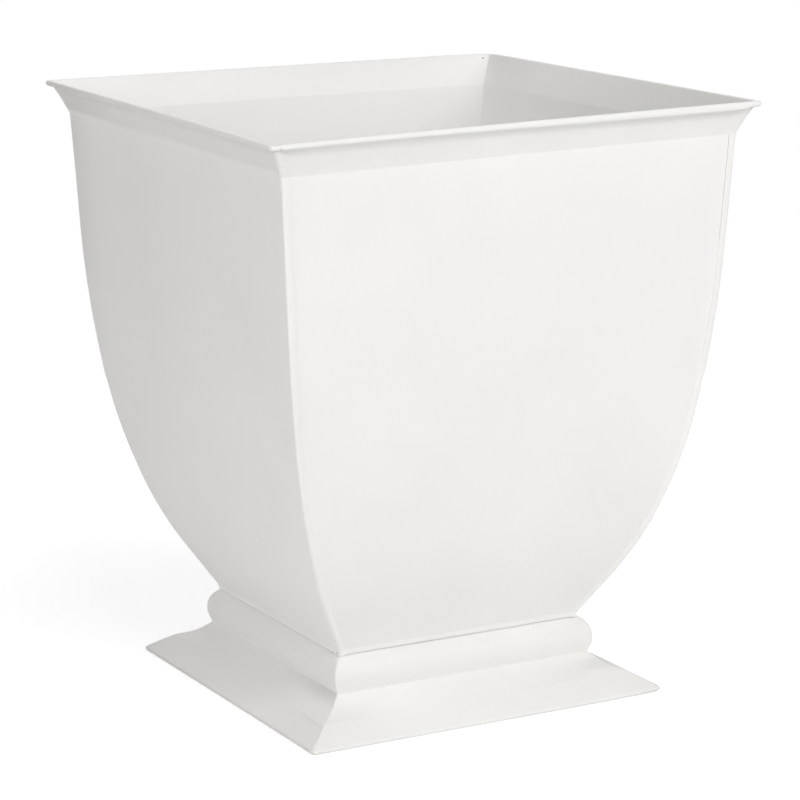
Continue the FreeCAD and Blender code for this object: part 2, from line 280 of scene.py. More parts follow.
# Camera, solved from the photograph's outline
CAMERA_LENS = 140.43
CAMERA_AZIMUTH = math.radians(-28.366)
CAMERA_ELEVATION = math.radians(12.728)
CAMERA_ROLL = math.radians(-0.473)
CAMERA_DISTANCE = 2751.55 * MM
CAMERA_TARGET_RIGHT = 4.815 * MM
CAMERA_TARGET_Z = 249.005 * MM


# Small geometry

def clamped(value, low=0.0, high=1.0):
    return min(max(value, low), high)


def smooth_step(value):
    value = clamped(value)
    return value * value * (3 - 2 * value)


def even_shares(count):
    return [step / count for step in range(count + 1)]


def left_of(travel):
    return Vector((-travel.y, travel.x))


def on_circle(radius, angle):
    return Vector((radius * math.cos(angle), radius * math.sin(angle)))


def circle_points(centre, radius, count):
    return [centre + on_circle(radius, 2 * math.pi * step / count) for step in range(count)]


def bezier(first, control, last, steps):
    """Points of a curve with one control point, its ends included."""
    return [
        first * (1 - part) ** 2 + control * (2 * part * (1 - part)) + last * part ** 2
        for part in even_shares(steps)
    ]


def turn_at(before, corner, after):
    inward = (corner - before).normalized()
    onward = (after - corner).normalized()
    cross = inward.x * onward.y - inward.y * onward.x
    return math.atan2(cross, inward.dot(onward))


def curve_radius(before, corner, after, share):
    reach = share * min((corner - before).length, (after - corner).length)
    return reach / math.tan(abs(turn_at(before, corner, after)) / 2)


def rounded_path(corners, radii, arc_steps, run_steps):
    """Points and left normals along straight runs that are joined by tangent arcs."""
    path = []
    position = corners[0]
    for before, corner, after, radius in zip(corners, corners[1:], corners[2:], radii):
        inward = (corner - before).normalized()
        turn = turn_at(before, corner, after)
        side = 1 if turn > 0 else -1
        reach = radius * math.tan(abs(turn) / 2)
        start = corner - inward * reach
        normal = left_of(inward)
        centre = start + normal * (side * radius)
        path += [(position.lerp(start, step / run_steps), normal) for step in range(run_steps)]
        for step in range(arc_steps + 1):
            spun = Matrix.Rotation(turn * step / arc_steps, 2) @ normal
            path.append((centre - spun * (side * radius), spun))
        onward = (after - corner).normalized()
        position = corner + onward * reach
    last_normal = left_of((corners[-1] - corners[-2]).normalized())
    path += [(position.lerp(corners[-1], step / run_steps), last_normal) for step in range(1, run_steps + 1)]
    return path


def offset_points(path, distance):
    return [spot + normal * distance for spot, normal in path]


def smooth_table(values, share):
    """Catmull-Rom curve through evenly spaced values."""
    place = clamped(share) * (len(values) - 1)
    index = min(int(place), len(values) - 2)
    before = values[max(index - 1, 0)]
    here, there = values[index], values[index + 1]
    after = values[min(index + 2, len(values) - 1)]
    part = place - index
    return 0.5 * (2 * here + (there - before) * part + (2 * before - 5 * here + 4 * there - after) * part ** 2
                  + (3 * here - before - 3 * there + after) * part ** 3)


def lift_at(height):
    for (low, lift), (high, next_lift) in zip(LIFTS, LIFTS[1:]):
        if low < height <= high:
            return lift + (next_lift - lift) * (height - low) / (high - low)
    return 0.0


def hand_made(spot):
    """The same slight unevenness for every welded piece, so that neighbours still meet."""
    moved = spot + noise.noise_vector(spot / WAVE_LENGTH + WAVE_START) * WAVE_HEIGHT
    moved.z += lift_at(spot.z)
    rise = clamped((spot.z - LIP_EDGE_Z) / (BOWL_TOP_Z - LIP_EDGE_Z))
    half = max(abs(spot.x), abs(spot.y), 0.1 * RIM_HALF)
    twist = spot.x * spot.y / half ** 2
    moved.z -= RIM_DROPS["back" if spot.y > 0 else "front"] * max(twist, 0.0) * rise
    moved.z -= RIM_SAG * (1 - abs(twist)) * rise
    far = math.hypot(RIM_HALF - spot.x, RIM_HALF - spot.y)
    moved.y -= BACK_CORNER_PULL * math.exp(-(far / BACK_PULL_REACH) ** 2)
    moved.z -= BACK_CORNER_DIP * math.exp(-(far / BACK_DIP_REACH) ** 2)
    if spot.z < FOOT_Z:
        near_corner = max((spot.x - spot.y) / (2 * FOOT_HALF) - 0.8, 0.0) / 0.2
        moved.z += FOOT_CORNER_LIFT * near_corner ** 2 * (1 - spot.z / FOOT_Z)
    low, high = cad_bounds
    return Vector([clamped(moved[axis], low[axis], high[axis]) for axis in range(3)])


def lip_drop(spot):
    """The lip hangs a little lower in places, so that the joint over the foot narrows there."""
    if spot.z > LIP_EDGE_Z + 0.01 * MM:
        return 0.0
    from_corner = LIP_HALF - min(abs(spot.x), abs(spot.y))
    drop = LIP_DROPS["left" if abs(spot.x) > abs(spot.y) else "front"]
    drop += LIP_WAVE_HEIGHT * noise.noise(spot / LIP_WAVE_LENGTH)
    return min(drop + LIP_CORNER_DROP * smooth_step(1 - from_corner / LIP_CORNER_REACH), LIP_DROP_LIMIT)


def pressed(spot):
    """Unevenness of the bowl: its panels are bowed a little more or less than they should be."""
    share = (spot.z - LIP_EDGE_Z) / (BOWL_TOP_Z - LIP_EDGE_Z)
    half = max(abs(spot.x), abs(spot.y), 0.2 * RIM_HALF)
    side = "right" if spot.x > 0 else "left"
    face = "back" if spot.y > 0 else "front"
    moved = spot.copy()
    moved.z -= lip_drop(spot)
    moved.x -= smooth_table(PRESSED_IN[side], share) * MM * spot.x / half
    moved.y -= smooth_table(PRESSED_IN[face], share) * MM * spot.y / half
    return hand_made(moved)


def turned(spot, degrees):
    return Matrix.Rotation(math.radians(degrees), 3, "Z") @ spot


def placed(points, height, shape, turn=0):
    """Points of a plan at one height, turned to their side and made uneven."""
    return [shape(turned(Vector((x, y, height)), turn)) for x, y in points]


# Meshes

def add_piece(builder, node, ending, slot_name=COAT, sharp=40):
    mesh = bpy.data.meshes.new(node + ending)
    mesh.from_pydata(builder.vertices, [], builder.faces)
    work = bmesh.new()
    work.from_mesh(mesh)
    bmesh.ops.remove_doubles(work, verts=work.verts, dist=0.002 * MM)
    bmesh.ops.recalc_face_normals(work, faces=work.faces)
    work.to_mesh(mesh)
    work.free()
    mesh.shade_smooth()
    mesh.set_sharp_from_angle(angle=math.radians(sharp))
    mesh.materials.append(MATERIALS[slot_name])
    piece = bpy.data.objects.new(node + ending, mesh)
    bpy.context.scene.collection.objects.link(piece)
    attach(piece, "root")
    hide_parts(node)


class Builder:
    """Collects the vertices and faces of one piece."""

    def __init__(self):
        self.vertices = []
        self.faces = []

    def sheet(self, outer, inner):
        """A sheet between two grids of the same size, with its four borders closed."""
        rows, columns = len(outer), len(outer[0])
        start = len(self.vertices)
        for grid in (outer, inner):
            for row in grid:
                self.vertices += row
        layer = rows * columns

        def at(side, row, column):
            return start + side * layer + row * columns + column

        for row in range(rows - 1):
            for column in range(columns - 1):
                for side in (0, 1):
                    self.faces.append([at(side, row, column), at(side, row, column + 1),
                                       at(side, row + 1, column + 1), at(side, row + 1, column)])
        for row in range(rows - 1):
            for column in (0, columns - 1):
                self.faces.append([at(0, row, column), at(1, row, column),
                                   at(1, row + 1, column), at(0, row + 1, column)])
        for column in range(columns - 1):
            for row in (0, rows - 1):
                self.faces.append([at(0, row, column), at(1, row, column),
                                   at(1, row, column + 1), at(0, row, column + 1)])

    def sweep(self, stations):
        """Closed outlines, several at each station where there are holes, joined along the stations."""
        starts = []
        for outlines in stations:
            starts.append(len(self.vertices))
            for outline in outlines:
                self.vertices += outline
        counts = [len(outline) for outline in stations[0]]
        for here, there in zip(starts, starts[1:]):
            shift = 0
            for count in counts:
                for index in range(count):
                    after = (index + 1) % count
                    self.faces.append([here + shift + index, here + shift + after,
                                       there + shift + after, there + shift + index])
                shift += count
        for start, outlines in ((starts[0], stations[0]), (starts[-1], stations[-1])):
            for triangle in tessellate_polygon(outlines):
                self.faces.append([start + corner for corner in triangle])


def corner_arc(half, radius):
    """Half of a rounded corner, from its middle to just before the straight side."""
    centre = Vector((half - radius, radius - half))
    return [centre + on_circle(radius, math.radians(9 * step - 45)) for step in range(5)]


def side_points(half, radii, shares):
    """Plan of one side of a rounded square, from the middle of one corner to the middle of the next."""
    first, last = [clamped(radius, 0.01 * MM, half) for radius in radii]
    middle = [(half, (first - half) * (1 - share) + (half - last) * share) for share in shares]
    return corner_arc(half, first) + middle + [(x, -y) for x, y in reversed(corner_arc(half, last))]


def corner_shares(count):
    """Shares that lie closer together near both ends."""
    return [(1 - math.cos(math.pi * step / count)) / 2 for step in range(count + 1)]


# Materials

def node_material(name):
    material = bpy.data.materials.new(name)
    material.use_nodes = True
    tree = material.node_tree
    return material, tree, tree.nodes["Principled BSDF"]


def add_node(tree, kind, numbers, links, settings=()):
    """A node with its numbers set and its inputs linked; settings are properties of the node itself."""
    node = tree.nodes.new("ShaderNode" + kind)
    for name, value in settings:
        setattr(node, name, value)
    for name, number in numbers.items():
        node.inputs[name].default_value = number
    for name, socket in links.items():
        tree.links.new(socket, node.inputs[name])
    return node


def object_place(tree):
    return tree.nodes.new("ShaderNodeTexCoord").outputs["Object"]


def add_noise(tree, place, scale, detail, roughness=0.5):
    numbers = {"Scale": scale, "Detail": detail, "Roughness": roughness}
    return add_node(tree, "TexNoise", numbers, {"Vector": place}).outputs["Fac"]


def add_ramp(tree, value, low, high):
    """Colours or greys from 0.3 to 0.7 of a value."""
    ramp = add_node(tree, "ValToRGB", {}, {"Fac": value})
    for element, place, colour in zip(ramp.color_ramp.elements, (0.3, 0.7), (low, high)):
        element.position = place
        element.color = (*colour, 1) if isinstance(colour, tuple) else (colour, colour, colour, 1)
    return ramp.outputs["Color"]


def add_bump(tree, height, strength, distance, links=None):
    numbers = {"Strength": strength, "Distance": distance}
    return add_node(tree, "Bump", numbers, {"Height": height, **(links or {})}).outputs["Normal"]


def parts_of(tree, vector):
    split = add_node(tree, "SeparateXYZ", {}, {"Vector": vector})
    return [split.outputs[axis] for axis in "XYZ"]


def combined(tree, operation, first, second):
    node = add_node(tree, "Math", {}, {}, [("operation", operation)])
    for socket, value in zip(node.inputs, (first, second)):
        if isinstance(value, float):
            socket.default_value = value
        else:
            tree.links.new(value, socket)
    return node.outputs[0]


def mapped(tree, value, low, high, at_low=0.0, at_high=1.0, way="LINEAR"):
    numbers = {"From Min": low, "From Max": high, "To Min": at_low, "To Max": at_high}
    node = add_node(tree, "MapRange", numbers, {"Value": value}, [("interpolation_type", way)])
    return node.outputs["Result"]


def distance_to(tree, place, spot):
    node = add_node(tree, "VectorMath", {}, {}, [("operation", "DISTANCE")])
    node.inputs[1].default_value = spot
    tree.links.new(place, node.inputs[0])
    return node.outputs["Value"]


def mix_colours(tree, factor, first, second):
    links = {"Factor": factor, "A": first}
    return add_node(tree, "Mix", {"B": (*second, 1)}, links, [("data_type", "RGBA")]).outputs["Result"]


def painted_shade_on(tree, place):
    """How much painted shade darkens the coat: on the lit top of the foot, in its creases, on the left of the
    flare and wall, and inside.
    """
    x, y, height = parts_of(tree, place)
    normal = tree.nodes.new("ShaderNodeNewGeometry").outputs["Normal"]
    across, along, upward = parts_of(tree, normal)
    measures = {
        "x": x, "y": y, "height": height, "across": across, "along": along, "upward": upward,
        "slanted": combined(tree, "ADD", height, combined(tree, "MULTIPLY", y, -0.02)),
        "clouds": add_noise(tree, place, 24.0, 5.0, 0.6),
        "to_far_left": distance_to(tree, place, FAR_LEFT_CORNER),
    }
    total = None
    for fades in PAINTED_SHADE.values():
        depth = None
        for measure, *numbers in fades:
            fade = mapped(tree, measures[measure], *numbers)
            depth = combined(tree, "MULTIPLY", depth, fade) if depth else fade
        total = combined(tree, "ADD", total, depth) if total else depth
    return mapped(tree, total, 0.0, 1.0)


# Painted shade: how dark each weld pore is drawn, standing in for the shade inside it.
def pit_shade_on(tree, place):
    total = None
    for spot in WELD_PITS:
        here = mapped(tree, distance_to(tree, place, spot), PIT_REACH, 0.4 * PIT_REACH)
        total = combined(tree, "MAXIMUM", total, here) if total else here
    return total


def powder_coat():
    """White satin powder coat: fine orange peel, faint clouding, painted shade in creases and on some faces,
    and dark spots painted for the shade in weld pores.
    """
    material, tree, shader = node_material(COAT)
    place = object_place(tree)
    colour = add_ramp(tree, add_noise(tree, place, 9.0, 4.0), (0.868, 0.861, 0.845), (0.893, 0.886, 0.870))
    # Painted shade: the coat turns grey where the painted shade masks lie.
    shaded_colour = mix_colours(tree, painted_shade_on(tree, place), colour, (0.74, 0.73, 0.70))
    # Painted shade: near-black spots for the shade inside the weld pores.
    pit_shaded_colour = mix_colours(tree, pit_shade_on(tree, place), shaded_colour, (0.2, 0.19, 0.18))
    tree.links.new(pit_shaded_colour, shader.inputs["Base Color"])
    tree.links.new(add_ramp(tree, add_noise(tree, place, 35.0, 3.0), 0.54, 0.64), shader.inputs["Roughness"])
    peel = add_bump(tree, add_noise(tree, place, 520.0, 2.0), 0.16, 0.0003)
    grain = add_bump(tree, add_noise(tree, place, 2600.0, 1.0), 0.08, 0.00008, {"Normal": peel})
    tree.links.new(grain, shader.inputs["Normal"])
    shader.inputs["Specular IOR Level"].default_value = 0.32
    return material


def bare_steel(name, dark, light, roughness):
    material, tree, shader = node_material(name)
    place = object_place(tree)
    colour = add_ramp(tree, add_noise(tree, place, 260.0, 5.0), dark, light)
    tree.links.new(colour, shader.inputs["Base Color"])
    spread = add_ramp(tree, add_noise(tree, place, 900.0, 3.0), roughness, roughness + 0.16)
    tree.links.new(spread, shader.inputs["Roughness"])
    tree.links.new(add_bump(tree, add_noise(tree, place, 1500.0, 2.0), 0.1, 0.0001), shader.inputs["Normal"])
    shader.inputs["Metallic"].default_value = 1.0
    return material


MATERIALS = {
    COAT: powder_coat(),
    ZINC: bare_steel(ZINC, (0.55, 0.56, 0.58), (0.74, 0.75, 0.76), 0.3),
    WIRE: bare_steel(WIRE, (0.42, 0.42, 0.43), (0.6, 0.6, 0.61), 0.35),
}


# Bowl

def bowl_path(arc_steps, run_steps):
    height = BOWL_TOP_Z - LIP_EDGE_Z
    top = Vector((BOWL_TOP_HALF, BOWL_TOP_Z))
    bend = Vector((LIP_HALF + LIP_LEAN_IN, LIP_EDGE_Z + LIP_HEIGHT))
    lip = Vector((LIP_HALF, LIP_EDGE_Z))
    corners = [top]
    for width_share, height_share in BOWL_CORNER_SHARES:
        corners.append(Vector((width_share * BOWL_TOP_HALF, LIP_EDGE_Z + height_share * height)))
    corners += [bend, lip]
    radii = [curve_radius(*three, BOWL_CURVE_SHARE) for three in zip(corners, corners[1:], corners[2:-1])]
    radii.append(LIP_BEND_RADIUS)
    corners[0] = top + (top - corners[1]).normalized() * OVERRUN
    corners[-1] = lip + (lip - bend).normalized() * OVERRUN
    return rounded_path(corners, radii, arc_steps, run_steps)


def half_width_reader(offset):
    """Function from a height to the bowl's half width there, for one offset of its outer face."""
    spots = sorted(offset_points(bowl_path(60, 30), offset), key=lambda spot: spot.y)
    heights = [spot.y for spot in spots]

    def read(height):
        index = clamped(bisect.bisect_left(heights, height), 1, len(spots) - 1)
        below, above = spots[index - 1], spots[index]
        share = (height - below.y) / max(above.y - below.y, 1e-9)
        return below.x + share * (above.x - below.x)

    return read


outer_half = half_width_reader(0)
inner_half = half_width_reader(-SHEET)
lapped_half = half_width_reader(SHEET)


def bowl_levels():
    heights = [spot.y for spot, normal in bowl_path(14, 4)]
    kept = [height for height in heights if LIP_EDGE_Z < height < BOWL_TOP_Z]
    return sorted(kept + [LIP_EDGE_Z, BOWL_TOP_Z])


LEVELS = bowl_levels()
WALL_SHARES = even_shares(48)


def flange_run(height, fades):
    """How far the flange's edge slopes: crisp above, filled and rubbed down below."""
    if not fades:
        return FLANGE_EDGE_RUNS["right"]
    fade = smooth_step((0.33 - height) / 0.12)
    return FLANGE_EDGE_RUNS[fades] + fade * (FLANGE_FADED_RUN - FLANGE_EDGE_RUNS[fades])


def lapped_half_section(height, fades):
    """Outer and inner points of a side panel at one height, from its middle to the flange's edge."""
    x_out, x_in = outer_half(height), inner_half(height)
    y_out, y_in = lapped_half(height), outer_half(height)
    centre = Vector((x_out - CORNER_RADIUS, y_out - CORNER_RADIUS))
    tip = x_out - FLANGE_WIDTH
    run = flange_run(height, fades)
    outer = [centre + on_circle(CORNER_RADIUS, math.radians(90 * share)) for share in even_shares(8)]
    outer += [(tip + run + 0.3 * MM, y_out), (tip + run, y_out - 0.1 * MM), (tip, y_in + 0.15 * MM)]
    inner = [(x_in, y_in)] * 9 + [(tip + 0.9 * MM, y_in), (tip + 0.5 * MM, y_in), (tip, y_in)]
    return outer, inner


def side_panel(name, turn, front_fades, back_fades):
    """Wall with rounded corners whose flanges lap over the front and back panels."""
    outer_grid, inner_grid = [], []
    for height in LEVELS:
        near_outer, near_inner = lapped_half_section(height, front_fades)
        far_outer, far_inner = lapped_half_section(height, back_fades)
        y_near, y_far = near_outer[0][1], far_outer[0][1]
        wall = [(outer_half(height), -y_near + (y_near + y_far) * share) for share in WALL_SHARES[1:-1]]
        wall_in = [(inner_half(height), y) for x, y in wall]
        outer = [(x, -y) for x, y in reversed(near_outer)] + wall + far_outer
        inner = [(x, -y) for x, y in reversed(near_inner)] + wall_in + far_inner
        outer_grid.append(placed(outer, height, pressed, turn))
        inner_grid.append(placed(inner, height, pressed, turn))
    builder = Builder()
    builder.sheet(outer_grid, inner_grid)
    add_piece(builder, name, "_coated")


def plain_panel(name, turn):
    """Front or back wall between the side panels."""
    grids = []
    for half_at in (outer_half, inner_half):
        rows = []
        for height in LEVELS:
            wall = [(half_at(height), inner_half(height) * (2 * share - 1)) for share in WALL_SHARES]
            rows.append(placed(wall, height, pressed, turn))
        grids.append(rows)
    builder = Builder()
    builder.sheet(*grids)
    add_piece(builder, name, "_coated")


# Crown

bead_centre = Vector((RIM_HALF - BEAD_RADIUS, RIM_Z - BEAD_RADIUS))
flare_foot = Vector((BOWL_TOP_HALF, BOWL_TOP_Z))


def flare_top_lean():
    run = bead_centre - flare_foot
    offset = (BEAD_RADIUS - SHEET) * math.cos(FLARE_TURN / 2)
    return math.atan2(run.x, run.y) + FLARE_TURN / 2 - math.asin(offset / run.length)


def leaning(lean):
    return Vector((math.sin(lean), math.cos(lean)))


flare_lean = flare_top_lean()
flare_up = leaning(flare_lean)
flare_in = left_of(flare_up)
flare_foot_up = leaning(flare_lean - FLARE_TURN)


def by_flare(start, inward, upward):
    return start + flare_in * inward + flare_up * upward


def on_flare_circle(centre, radius, angle):
    """Point of a circle whose angles are counted from the flare's inward direction."""
    return by_flare(centre, radius * math.cos(angle), radius * math.sin(angle))


def flare_arc(offset, steps):
    """Points up one face of the flare, from the bowl to the bead's fillet."""
    end = by_flare(bead_centre, BEAD_RADIUS - SHEET, 0)
    reach = (end - flare_foot).length / 2 / math.cos(FLARE_TURN / 2)
    radius = reach / math.tan(FLARE_TURN / 2)
    corners = [flare_foot - flare_foot_up * OVERRUN, flare_foot + flare_foot_up * reach, end]
    path = rounded_path(corners, [radius], steps, 1)[1:steps + 2]
    return offset_points(path, offset)


def on_flare(reach):
    """Point of the flare's outer face that lies this far below its end."""
    face = flare_arc(0, 80)
    return min(face, key=lambda spot: abs((spot - face[-1]).length - reach))


def fillet_by_bead():
    """Tight fillet between flare and bead, and the angle at which it meets the bead."""
    join_in = BEAD_RADIUS - SHEET - BEAD_FILLET
    join_up = -math.sqrt((BEAD_RADIUS + BEAD_FILLET) ** 2 - join_in ** 2)
    centre = by_flare(bead_centre, join_in, join_up)
    meet = math.atan2(-join_up, -join_in)
    curve = [on_flare(reach * MM) for reach in (15.5, 12, 8.5)]
    curve += [on_flare_circle(centre, BEAD_FILLET, meet * share) for share in even_shares(8)]
    return curve, math.atan2(join_up, join_in) % (2 * math.pi)


def slope_by_bead(droop):
    """Longer, gentle slope there, and the angle at which it meets the bead."""
    begin, foot = on_flare(SLOPE_RUN + SLOPE_ROUNDING + droop), on_flare(SLOPE_RUN + droop)
    hung_centre = bead_centre - Vector((0, droop))
    arm = foot - hung_centre
    depth, rise = arm.dot(flare_in), arm.dot(flare_up)
    first = (math.atan2(rise, depth) - math.acos(BEAD_RADIUS / math.hypot(depth, rise))) % (2 * math.pi)
    touch = on_flare_circle(hung_centre, BEAD_RADIUS, first)
    leave = foot + (touch - foot).normalized() * SLOPE_ROUNDING
    curve = [on_flare(reach * MM + 0.4 * droop) for reach in (16.6, 15.3, 14.1)]
    return curve + bezier(begin, foot, leave, 6) + [leave.lerp(touch, 0.5), touch], first


def crown_outline(joint, droop=0.0):
    """Section of flare and bead, with the given curve between them on the outside."""
    curve, first = joint
    outline = flare_arc(0, 16)[:8] + curve
    for step in range(1, 33):
        spot = on_flare_circle(bead_centre, BEAD_RADIUS, first * (1 - step / 32))
        arm = spot - bead_centre
        hangs = droop * smooth_step(0.5 - arm.y / BEAD_RADIUS) if arm.x > 0 else 0.0
        outline.append(spot - Vector((0, hangs)))
    return outline + flare_arc(SHEET, 16)[-2::-1]


CROWN_OUTLINES = [
    crown_outline(fillet_by_bead()),
    crown_outline(slope_by_bead(0.0)),
    crown_outline(slope_by_bead(BEAD_DROOP), BEAD_DROOP),
]


def crown_radius(spot, corner):
    """Corner radius in plan of a point of the crown's section: the flare's weld is ground round."""
    rise = clamped((spot.y - BOWL_TOP_Z) / (RIM_Z - 2 * BEAD_RADIUS - BOWL_TOP_Z))
    low, high, bead = CROWN_CORNERS[corner]
    if (spot - bead_centre).length < 1.02 * BEAD_RADIUS:
        return max(0.0, spot.x - bead_centre.x + bead)
    face = (spot - flare_foot).dot(-flare_in)
    return max(0.0, low + (high - low) * rise + min(face, 0.0))


def crown_radii(turn):
    corners = SIDE_CORNERS[turn]
    return lambda spot: [crown_radius(spot, corner) for corner in corners]


def ring_stations(outlines, radii_of, shares, turn, shape=hand_made):
    """Each outline point runs along its own side of a rounded square; returns outlines by station."""
    tracks = [
        [placed(side_points(spot.x, radii_of(spot), shares), spot.y, shape, turn) for spot in outline]
        for outline in outlines
    ]
    return [
        [[track[index] for track in outline] for outline in tracks]
        for index in range(len(tracks[0][0]))
    ]


def crown_shares():
    """Even steps along the side, and fine ones where the corner weld ends."""
    near = [reach * MM / (2 * RIM_HALF) for reach in (1, 2.5, 4, 5, 5.8, 6.4, 7, 7.6, 8.2, 9, 11, 15)]
    middle = [share for share in even_shares(40) if near[-1] < share < 1 - near[-1]]
    return [0.0] + near + middle + [1 - share for share in reversed(near)] + [1.0]


def weld_end(spot):
    """The front bead is pinched where the weld of its left corner ends, and a little thinner up to there."""
    if spot.z < RIM_Z - 2.4 * BEAD_RADIUS or abs(spot.y) < abs(spot.x) or spot.x > 0 or spot.y > 0:
        return hand_made(spot)
    arm = Vector((0, spot.y + bead_centre.x, spot.z - bead_centre.y))
    past_end = WELD_END - RIM_HALF + abs(spot.x)
    pinch = WELD_PINCH * (1.0 if arm.z > 0 else 1.7) * math.exp(-(past_end / WELD_PINCH_REACH) ** 2)
    pinch += WELD_THINNING * smooth_step(past_end / WELD_THINNING_RUN)
    if arm.length > 0.8 * BEAD_RADIUS:
        spot = spot - arm.normalized() * pinch
    return hand_made(spot)


def crown_strip(name, turn):
    """Flare and bead: a tight fillet joins them beside the corners, a slope further on."""
    wire_hole = circle_points(bead_centre, BEAD_RADIUS - SHEET, 20)
    by_outline = [
        ring_stations([outline, wire_hole], crown_radii(turn), crown_shares(), turn, Vector.copy)
        for outline in CROWN_OUTLINES
    ]
    stations = []
    for three_stations in zip(*by_outline):
        place = three_stations[0][1][0]
        share = smooth_step((RIM_HALF - min(abs(place.x), abs(place.y)) - SLOPE_START) / SLOPE_FADE)
        hangs = smooth_step((place.x - DROOP_START) / DROOP_FADE) if name == "crown_front" else 0.0
        stations.append([
            [weld_end(tight.lerp(sloped.lerp(hung, hangs), share)) for tight, sloped, hung in zip(*outlines)]
            for outlines in zip(*three_stations)
        ])
    builder = Builder()
    builder.sweep(stations)
    add_piece(builder, name, "_rolled")


def rim_wire(name, turn):
    outline = circle_points(bead_centre, BEAD_RADIUS - SHEET - WIRE_CLEARANCE, 16)
    builder = Builder()
    builder.sweep(ring_stations([outline], crown_radii(turn), even_shares(40), turn))
    add_piece(builder, name, "_drawn", WIRE)


# Foot

def skirt_base(arris):
    edge_centre = Vector((FOOT_HALF - FOOT_BEND_RADIUS, FOOT_BEND_RADIUS))
    run = edge_centre - arris
    slope = math.atan2(-run.y, run.x) - math.asin(FOOT_BEND_RADIUS / run.length)
    return Vector((arris.x + arris.y / math.tan(slope), 0))


CREST_HALF = FOOT_TOP_HALF + TORUS_PROJECTION
foot_notch = Vector((CREST_HALF - NOTCH_DEPTH, NOTCH_HEIGHT_SHARE * FOOT_Z))
RUN_OUT = FOOT_HALF - foot_notch.x
foot_cove = Vector((foot_notch.x + COVE_RUN_SHARE * RUN_OUT, COVE_HEIGHT_SHARE * FOOT_Z))
foot_arris = Vector((foot_notch.x + ARRIS_RUN_SHARE * RUN_OUT, ARRIS_HEIGHT_SHARE * FOOT_Z))
foot_base = skirt_base(foot_arris)


def foot_outline(softness):
    """Section of the moulding; softness flattens cove and arris towards one straight slope."""
    across = foot_base - foot_notch
    bends = []
    for bend in (foot_cove, foot_arris):
        straight_z = foot_notch.y + across.y * (bend.x - foot_notch.x) / across.x
        bends.append(Vector((bend.x, bend.y + softness * (straight_z - bend.y))))
    corners = [
        Vector((FOOT_TOP_HALF - TOP_FLANGE_WIDTH, FOOT_Z)),
        Vector((FOOT_TOP_HALF, FOOT_Z)),
        Vector((CREST_HALF, FOOT_Z - TORUS_PROJECTION * math.tan(TORUS_LEAD))),
        Vector((CREST_HALF, TORUS_FOOT_SHARE * FOOT_Z)),
        foot_notch,
        *bends,
        skirt_base(bends[1]),
        Vector((FOOT_HALF - REST_FLANGE_WIDTH, 0)),
    ]
    radii = [
        FOOT_BEND_RADIUS,
        curve_radius(*corners[1:4], TORUS_CURVE_SHARE),
        curve_radius(*corners[2:5], TORUS_UNDER_SHARE),
        NOTCH_RADIUS,
        curve_radius(*corners[4:7], COVE_CURVE_SHARE),
        ARRIS_RADIUS * (1 - softness) + SOFT_ARRIS_RADIUS * softness,
        FOOT_BEND_RADIUS,
    ]
    path = rounded_path(corners, radii, 9, 2)
    return offset_points(path, 0) + offset_points(path, -FOOT_SHEET)[::-1]


CRISP_FOOT = foot_outline(0.0)
SOFT_FOOT = foot_outline(FOOT_SOFTNESS)


def plan_radius_of_foot(half, height):
    """Rounder corners at the foot's edge than higher up."""
    if height > FOOT_Z / 2:
        return TORUS_CORNER_RADIUS
    outward = smooth_step((half - 0.86 * FOOT_HALF) / (0.13 * FOOT_HALF))
    return SKIRT_CORNER_RADIUS + (FOOT_CORNER_RADIUS - SKIRT_CORNER_RADIUS) * outward


def foot_strip(name, turn):
    """Moulding whose cove and arris are crisp beside the corners and fade towards the middle."""
    tracks = []
    for crisp, soft in zip(CRISP_FOOT, SOFT_FOOT):
        radii = [plan_radius_of_foot(crisp.x, crisp.y)] * 2
        plans = [side_points(spot.x, radii, corner_shares(40)) for spot in (crisp, soft)]
        track = []
        for (x, y), (soft_x, soft_y) in zip(*plans):
            blend = smooth_step((crisp.x - abs(y) - FOOT_CRISP_REACH) / FOOT_FADE_REACH)
            spot = Vector((x, y, crisp.y)).lerp(Vector((soft_x, soft_y, soft.y)), blend)
            track.append(hand_made(turned(spot, turn)))
        tracks.append(track)
    builder = Builder()
    builder.sweep([[list(outline)] for outline in zip(*tracks)])
    add_piece(builder, name, "_pressed")


for side_name, side_turn in SIDE_TURNS.items():
    crown_strip("crown_" + side_name, side_turn)
    rim_wire("rim_wire_" + side_name, side_turn)
    foot_strip("foot_moulding_" + side_name, side_turn)
side_panel("bowl_panel_right", SIDE_TURNS["right"], "right", None)
side_panel("bowl_panel_left", SIDE_TURNS["left"], None, "left")
plain_panel("bowl_panel_front", SIDE_TURNS["front"])
plain_panel("bowl_panel_back", SIDE_TURNS["back"])


# Welds

def lumps(spot, length, height):
    """Slow swelling and shrinking of a weld along its run."""
    return height * noise.noise(spot / length)


def ridge_path(turn):
    """Places up one mitre, with the plan radius, the ridge's half width and its thickness at each."""
    low, high, bead = CROWN_CORNERS[SIDE_CORNERS[turn][1]]
    reach, height = CORNER_RIDGES[SIDE_CORNERS[turn][1]]
    path = []
    for step in range(14):
        level = BOWL_TOP_Z - RIDGE_TAIL * (1 - step / 14)
        half = outer_half(level)
        x, y = (half, half + LAPPED_STEP) if turn in (0, 180) else (half + LAPPED_STEP, half)
        path.append((Vector((x, y, level)), TAIL_RADIUS, TAIL_REACH, TAIL_HEIGHT))
    arc = flare_arc(0, 40)[:-3]
    for spot, share in zip(arc, even_shares(len(arc) - 1)):
        wide = TAIL_REACH + (reach - TAIL_REACH) * smooth_step(share / 0.35)
        thick = height * (0.5 + 0.5 * smooth_step(share / 0.3))
        path.append((Vector((spot.x, spot.x, spot.y)), low + (high - low) * share, wide, thick))
    return path


